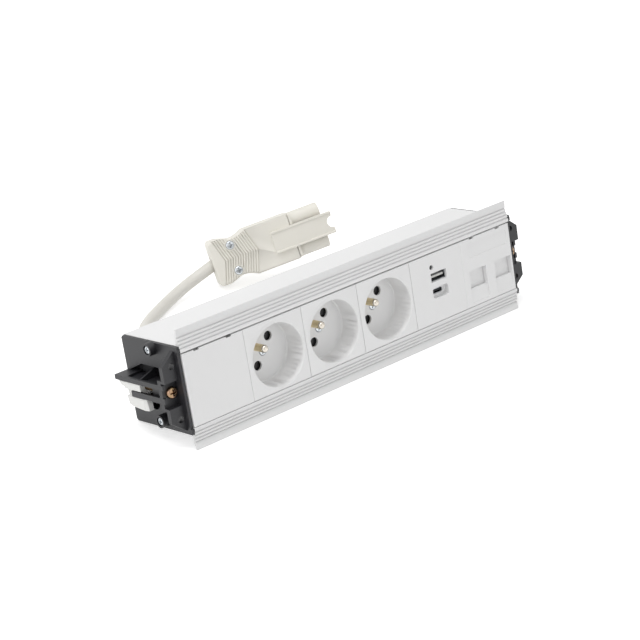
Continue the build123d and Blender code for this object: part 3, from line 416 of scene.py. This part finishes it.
# A ring of edges is extruded along Y and scaled about it; the new ring comes back
def nextRing(bm, edges, along, scale):
    result = bmesh.ops.extrude_edge_only(bm, edges=edges)
    corners = [part for part in result["geom"] if isinstance(part, bmesh.types.BMVert)]
    bmesh.ops.scale(bm, vec=(scale, 1, scale), verts=corners)
    bmesh.ops.translate(bm, vec=(0, along, 0), verts=corners)
    return [part for part in result["geom"] if isinstance(part, bmesh.types.BMEdge)]


def spinAbout(bm, points, steps):
    corners = [bm.verts.new((radius, along, 0)) for radius, along in points]
    edges = [bm.edges.new(pair) for pair in zip(corners, corners[1:])]
    bmesh.ops.spin(bm, geom=corners + edges, cent=(0, 0, 0), axis=(0, 1, 0), dvec=(0, 0, 0),
                   angle=2 * pi, steps=steps, use_merge=True, use_duplicate=False)
    bmesh.ops.remove_doubles(bm, verts=bm.verts, dist=copying["poles"])
    bmesh.ops.recalc_face_normals(bm, faces=bm.faces)


# Pan-head screws, drawn on the Y axis with the head's face at Y = 0 towards the viewer
screws = {
    "cap": {"head": 2.7, "tall": 2.2, "cross": 3.4, "bar": 0.85, "deep": 1.3, "shank": 1.95, "long": 15.0},
    "clamp": {"head": 3.6, "tall": 2.4, "cross": 4.4, "bar": 0.95, "deep": 1.9, "shank": 1.72,
              "long": 42.5},
    "socket": {"head": 3.0, "tall": 1.5, "cross": 3.8, "bar": 0.8, "deep": 0.9, "shank": 1.5, "long": 16.6},
    "connector": {"head": 2.9, "tall": 1.6, "cross": 4.0, "bar": 1.1, "deep": 1.9, "shank": 1.55,
                  "long": 12.0},
}

# What all heads share: the flat top's share of the radius, the dome as shares of height and radius from
# there to the underside, the recess's taper, and the shank's pointed tip
panHead = {"sides": 40, "flat": 0.7, "dome": ((0.1, 0.854), (0.2, 0.95648), (0.25, 1.0), (0.45, 1.0)),
           "recessTaper": 0.72, "tip": 0.6, "tipTaper": 0.7}


def addScrew(bm, kind, place):
    facts = screws[kind]
    before = set(bm.verts)
    top = bmesh.ops.create_circle(bm, cap_ends=False, radius=facts["head"] * panHead["flat"],
                                  segments=panHead["sides"], matrix=Matrix.Rotation(pi / 2, 4, "X"))
    rim = list({edge for corner in top["verts"] for edge in corner.link_edges})
    half, bar = facts["cross"] / 2, facts["bar"] / 2
    arm = [(bar, half), (bar, bar), (half, bar)]
    cross = []
    for quarter in range(4):
        turn = Matrix.Rotation(-quarter * pi / 2, 2)
        cross += [bm.verts.new((p.x, 0, p.y)) for p in (turn @ Vector(a) for a in arm)]
    recess = [bm.edges.new((cross[i - 1], cross[i])) for i in range(len(cross))]
    bmesh.ops.triangle_fill(bm, use_beauty=True, edges=rim + recess, normal=(0, -1, 0))
    floor = nextRing(bm, recess, facts["deep"], panHead["recessTaper"])
    bmesh.ops.edgeloop_fill(bm, edges=floor)
    ring, reached = rim, panHead["flat"]
    for rise, reach in panHead["dome"]:
        ring = nextRing(bm, ring, facts["tall"] * rise, reach / reached)
        reached = reach
    ring = nextRing(bm, ring, 0.0, facts["shank"] / facts["head"])
    ring = nextRing(bm, ring, facts["long"] - panHead["tip"], 1.0)
    ring = nextRing(bm, ring, panHead["tip"], panHead["tipTaper"])
    bmesh.ops.edgeloop_fill(bm, edges=ring)
    added = [corner for corner in bm.verts if corner not in before]
    bmesh.ops.recalc_face_normals(bm, faces=list({face for corner in added for face in corner.link_faces}))
    bmesh.ops.transform(bm, matrix=place, verts=added)


# Rolled metric thread, as one tooth carried round the shank; the crest's place is a share of the pitch
thread = {"pitch": 0.7, "root": 1.7, "crest": 2.0, "crestFrom": 0.4, "crestTo": 0.55, "steps": 18,
          "start": 11.5, "turns": 46}


def addThread(bm):
    pitch, root, crest, start = (thread[name] for name in ("pitch", "root", "crest", "start"))
    tooth = [(root, start), (crest, start + pitch * thread["crestFrom"]),
             (crest, start + pitch * thread["crestTo"]), (root, start + pitch)]
    corners = [bm.verts.new((radius, along, 0)) for radius, along in tooth]
    edges = [bm.edges.new(pair) for pair in zip(corners, corners[1:])]
    bmesh.ops.spin(bm, geom=corners + edges, cent=(0, 0, 0), axis=(0, 1, 0),
                   dvec=(0, pitch / thread["steps"], 0), angle=2 * pi * thread["turns"],
                   steps=thread["steps"] * thread["turns"], use_merge=False, use_duplicate=False)
    bmesh.ops.recalc_face_normals(bm, faces=bm.faces)


# Each end has two cap screws, driven in sideways, and the clamp screw, whose shank is painted dark brown as
# shade from a little below its head
ends = {"capOut": -6.6, "capBack": 23.6, "capHeights": (23.6, -20.7),
        "clampOut": -6.0, "clampBack": 5.5, "paintedShadeFrom": 9.0}
sideways = {"left": Matrix.Rotation(-pi / 2, 4, "Z"), "right": Matrix.Rotation(pi / 2, 4, "Z")}


def atEnd(side, x):
    return x if side == "left" else 2 * stand["middle"] - x


for side in ("left", "right"):
    bm = bmesh.new()
    for height in ends["capHeights"]:
        place = Matrix.Translation((atEnd(side, ends["capOut"]), ends["capBack"], height)) @ sideways[side]
        addScrew(bm, "cap", place)
    finishPiece(bm, "capScrews." + side, "module", ["cap_screws_" + side], ["zincPlatedSteel"],
                uprightToFloor)
    bm = bmesh.new()
    addThread(bm)
    addScrew(bm, "clamp", Matrix.Identity(4))
    # Painted shade: faces past paintedShadeFrom, the shank and thread in the dark gap, take the dark brown
    # material
    for face in bm.faces:
        face.material_index = 1 if face.calc_center_median().y > ends["paintedShadeFrom"] else 0
    bmesh.ops.translate(bm, vec=(atEnd(side, ends["clampOut"]), ends["clampBack"], 0), verts=bm.verts)
    finishPiece(bm, "clampScrew." + side, "clamp_screw_%s_body" % side, ["clamp_screw_" + side],
                ["yellowZincSteel", "yellowZincInPaintedShade"], uprightToFloor)

# Earth pins, domed and plated at the tip, and the screw in the middle of each bowl
pin = {"aside": 10.0, "radius": 2.4, "tip": -2.0, "middle": 20.0, "end": 37.9, "domeSteps": 8, "sides": 40,
       "platedPast": 0.3}
socketScrew = {"face": 12.3}

for count, centre in enumerate(sockets["centres"], 1):
    turned = (uprightToFloor @ Matrix.Translation((centre, 0, 0))
              @ Matrix.Rotation(radians(sockets["turn"]), 4, "Y"))
    bm = bmesh.new()
    radius, tip, steps = pin["radius"], pin["tip"], pin["domeSteps"]
    turns = [step * pi / 2 / steps for step in range(steps + 1)]
    dome = [(radius * sin(turn), tip + radius - radius * cos(turn)) for turn in turns]
    spinAbout(bm, dome + [(radius, pin["middle"]), (radius, pin["end"]), (0, pin["end"])], pin["sides"])
    for face in bm.faces:
        face.material_index = 1 if face.calc_center_median().y < tip + radius + pin["platedPast"] else 0
    finishPiece(bm, "earthPin.%d" % count, "module", ["socket_%d_earth_pin" % count],
                ["pinBrass", "nickelPlate"], turned @ Matrix.Translation((-pin["aside"], 0, 0)))
    bm = bmesh.new()
    addScrew(bm, "socket", Matrix.Translation((0, socketScrew["face"], 0)))
    finishPiece(bm, "socketScrew.%d" % count, "module", ["socket_%d_screw" % count], ["zincPlatedSteel"],
                turned)

# Connector's two screws, one on each side of its axis
connectorScrews = {"along": 16.4, "aside": 9.05, "face": 8.9}
bm = bmesh.new()
for across in (connectorScrews["aside"], -connectorScrews["aside"]):
    place = Matrix.Translation((connectorScrews["along"], across, connectorScrews["face"]))
    addScrew(bm, "connector", place @ Matrix.Rotation(-pi / 2, 4, "X"))
finishPiece(bm, "connectorScrews", "module", ["connector_screws"], ["zincPlatedSteel"], connectorToFloor)
print("screws and pins made")

# The A port's tongue hangs in the middle of its mouth
tongue = {"down": 0.55, "thin": 0.68, "forward": 0.9, "front": 5.0}
bm = uprightCopy("usb_a_tongue")
heights = [corner.co.z for corner in bm.verts]
middle = (min(heights) + max(heights)) / 2
for corner in bm.verts:
    corner.co.z = middle - tongue["down"] + (corner.co.z - middle) * tongue["thin"]
    if corner.co.y < tongue["front"]:
        corner.co.y -= tongue["forward"]
finishPiece(bm, "portTongueA", "module", ["usb_a_tongue"], ["tongueNylon"], uprightToFloor)

# Cord relief: a moulded collar in the wall, then a taper with rings that let it bend. The collar is given
# as radius and depth, and a ring as how far it lies in and along.
relief = {"place": (46.0, 0.3), "bore": 4.2, "inside": 49.3, "end": 77.0, "endRadius": 5.4, "endRound": 0.5,
          "endBack": 0.6, "root": 57.0, "rootRadius": 7.0, "sides": 56,
          "collar": ((7.9, 49.3), (8.6, 50.9), (8.6, 52.5), (7.9, 52.6), (7.9, 54.52), (10.5, 54.52),
                     (10.5, 55.8), (10.15, 56.6), (9.4, 57.0), (7.5, 57.1), (7.0, 57.6)),
          "rings": 4, "firstRing": 3.2, "ringPitch": 4.2,
          "ring": ((0.0, 0.0), (0.2, 0.2), (1.1, 0.35), (1.1, 1.5), (0.25, 1.65), (0.05, 1.9))}


def makeRelief():
    points = [(relief["bore"], relief["inside"]), *relief["collar"]]
    for count in range(relief["rings"]):
        start = relief["root"] + relief["firstRing"] + count * relief["ringPitch"]
        share = (start - relief["root"]) / (relief["end"] - relief["root"])
        outer = relief["rootRadius"] + (relief["endRadius"] - relief["rootRadius"]) * share
        points += [(outer - inward, start + along) for inward, along in relief["ring"]]
    points += [(relief["endRadius"], relief["end"] - relief["endBack"]),
               (relief["endRadius"] - relief["endRound"], relief["end"]),
               (relief["bore"], relief["end"]), (relief["bore"], relief["inside"])]
    bm = bmesh.new()
    spinAbout(bm, points, relief["sides"])
    x, z = relief["place"]
    finishPiece(bm, "cordRelief", "module", ["cord_relief"], ["sheathVinyl"],
                uprightToFloor @ Matrix.Translation((x, 0, z)))


makeRelief()
print("port tongue and cord relief made")

# Supply cord: 8.2 mm across, from inside the relief down to the floor and up into the connector
cord = {"diameter": 8.2, "length": 0.1865, "steps": 16, "roundness": 8,
        "route": [(-89.0, 24.2515, 27.2874), (-89.0, 74.319, 18.115), (-62.8, 114.7, 5.0),
                  (-29.5, 134.1, 4.6), (-3.4, 142.9, 8.2), (19.044, 140.196, 16.682)]}


def makeCord():
    curve = bpy.data.curves.new("supplyCord", "CURVE")
    curve.dimensions = "3D"
    spline = curve.splines.new("NURBS")
    spline.points.add(len(cord["route"]) - 1)
    for point, place in zip(spline.points, cord["route"]):
        point.co = (*(value * mm for value in place), 1)
    spline.order_u = 3
    spline.use_endpoint_u = True
    spline.resolution_u = cord["steps"]
    curve.bevel_depth = cord["diameter"] / 2 * mm
    curve.bevel_resolution = cord["roundness"]
    curve.use_fill_caps = True
    curve.materials.append(materials["sheathVinyl"])
    piece = bpy.data.objects.new("supplyCord", curve)
    bpy.context.scene.collection.objects.link(piece)
    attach(piece, "module")
    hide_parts("cord")
    return piece


supplyCord = makeCord()
print("cord laid")

# CAD nodes that stay as they are, and what each is made of
kept = {
    "usb_rear_cover": "innerPolycarbonate", "usb_board": "solderMaskBoard", "usb_parts": "chipEpoxy",
    "usb_a_shell": "stampedTinnedSteel", "usb_c_shell": "stampedTinnedSteel",
    "usb_c_tongue": "chipEpoxy", "usb_indicator": "chipEpoxy",
    "data_jack_left": "innerPolycarbonate", "data_jack_right": "innerPolycarbonate",
    "data_contacts_left": "gildedBronze", "data_contacts_right": "gildedBronze",
    "terminal_block": "innerPolycarbonate", "supply_wires": "wireVinyl",
    "connector_contacts": "contactBrass",
}
keptInSocket = {"base": "innerPolycarbonate", "rear_cover": "innerPolycarbonate",
                "shutter": "shutterNylonAndHoleShade", "contacts": "contactBrass"}
for count in range(1, len(sockets["centres"]) + 1):
    kept.update({"socket_%d_%s" % (count, part): keptInSocket[part] for part in keptInSocket})
for node, materialName in kept.items():
    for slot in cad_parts[node].material_slots:
        slot.material = materials[materialName]
print("kept nodes finished:", len(kept))

# Camera, fitted to the photograph: place, lens and sensor in mm, its right and up directions, and the
# furthest that it sees in metres
view = {"place": (-734.98, -832.603, 547.447), "right": (0.74317, -0.66825, -0.03398),
        "up": (0.30669, 0.29505, 0.90492), "lens": 110.64, "sensor": 36, "furthest": 20}


def makeCamera():
    right, up = Vector(view["right"]).normalized(), Vector(view["up"])
    back = right.cross(up).normalized()
    up = back.cross(right)
    data = bpy.data.cameras.new("photoView")
    data.lens = view["lens"]
    data.sensor_fit = "HORIZONTAL"
    data.sensor_width = view["sensor"]
    data.clip_end = view["furthest"]
    camera = bpy.data.objects.new("photoView", data)
    turn = Matrix((right, up, back)).transposed().to_4x4()
    camera.matrix_world = Matrix.Translation(Vector(view["place"]) * mm) @ turn
    bpy.context.scene.collection.objects.link(camera)
    bpy.context.scene.camera = camera


makeCamera()

# Studio: white sweep, one broad lamp overhead, softer ones from the front and the left, in metres and watts
studio = {"worldStrength": 0.57,
          "floor": {"colour": "#f4f4f4", "roughness": 0.9, "lift": 0.5, "size": 4.0},
          "lamps": {"overhead": {"place": (-0.35, 0.12, 1.45), "size": 1.0, "power": 10},
                    "front": {"place": (0.3, -1.7, 0.6), "size": 1.3, "power": 3.1},
                    "left": {"place": (-1.6, -0.1, 0.6), "size": 1.0, "power": 4.5}}}


# The background is white to the camera, and to metal and glass, without lighting the object more
def seenDirectly(tree):
    rays = addNode(tree, "ShaderNodeLightPath")
    seen = rays.outputs["Is Camera Ray"]
    for other in ("Is Glossy Ray", "Is Transmission Ray"):
        either = addNode(tree, "ShaderNodeMath", {"operation": "MAXIMUM"},
                         {0: seen, 1: rays.outputs[other]})
        seen = either.outputs[0]
    return seen


def makeWorld():
    world = bpy.data.worlds.new("studio")
    bpy.context.scene.world = world
    world.use_nodes = True
    tree = world.node_tree
    tree.nodes.clear()
    white = hexColour("#ffffff")
    soft = addNode(tree, "ShaderNodeBackground", {"Color": white, "Strength": studio["worldStrength"]})
    plain = addNode(tree, "ShaderNodeBackground", {"Color": white, "Strength": 1.0})
    pick = addNode(tree, "ShaderNodeMixShader",
                   links={0: seenDirectly(tree), 1: soft.outputs[0], 2: plain.outputs[0]})
    addNode(tree, "ShaderNodeOutputWorld", links={"Surface": pick.outputs[0]})


# Paper floor: matt near-white, lifted a little where it is seen, so that it runs into the background and
# still takes the shadow
def makeFloor():
    facts = studio["floor"]
    bm = bmesh.new()
    bmesh.ops.create_grid(bm, x_segments=1, y_segments=1, size=facts["size"])
    mesh = bpy.data.meshes.new("studioFloor")
    bm.to_mesh(mesh)
    bm.free()
    floor = bpy.data.objects.new("studioFloor", mesh)
    bpy.context.scene.collection.objects.link(floor)
    material, tree, shader = startMaterial("paperFloor", facts)
    shader.inputs["Base Color"].default_value = hexColour(facts["colour"])
    shader.inputs["Emission Color"].default_value = hexColour("#ffffff")
    lift = addNode(tree, "ShaderNodeMath", {"operation": "MULTIPLY", 1: facts["lift"]},
                   {0: seenDirectly(tree)})
    tree.links.new(lift.outputs[0], shader.inputs["Emission Strength"])
    mesh.materials.append(material)


def makeLamps():
    for name, facts in studio["lamps"].items():
        lamp = bpy.data.lights.new(name, "AREA")
        lamp.size = facts["size"]
        lamp.energy = facts["power"]
        holder = bpy.data.objects.new(name, lamp)
        holder.location = facts["place"]
        toObject = -Vector(facts["place"])
        holder.rotation_euler = toObject.to_track_quat("-Z", "Y").to_euler()
        bpy.context.scene.collection.objects.link(holder)


makeWorld()
makeFloor()
makeLamps()
bpy.context.scene.view_settings.view_transform = "Standard"
print("camera and studio ready")
